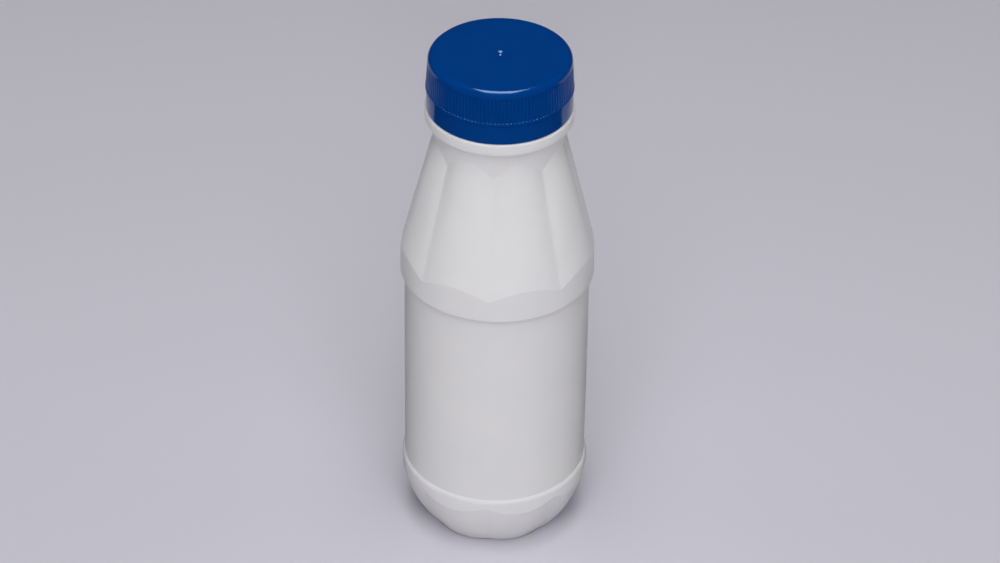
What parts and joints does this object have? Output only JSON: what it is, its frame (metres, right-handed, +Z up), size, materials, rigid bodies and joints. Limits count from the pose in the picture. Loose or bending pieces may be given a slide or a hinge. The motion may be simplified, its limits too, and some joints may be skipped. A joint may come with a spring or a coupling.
{
  "type": "ayran bottle",
  "caption": "Small white plastic ayran bottle with a fluted tapering shoulder, a bare recessed label panel, a fluted foot and a blue ribbed screw cap.",
  "frame": {"origin": "centre of the ring that the bottle stands on, at the height of the surface under it", "axes": "+Z up the bottle's axis to the cap; -Y is the front, with a valley between two flutes in its middle; +X to the right"},
  "size_m": [0.0564, 0.0564, 0.1598],
  "materials": {
    "white_plastic": "satin",
    "blue_plastic": "gloss"
  },
  "bodies": {
    "root": {"bottle": "white_plastic", "cap": "blue_plastic"}
  },
  "joints": []
}
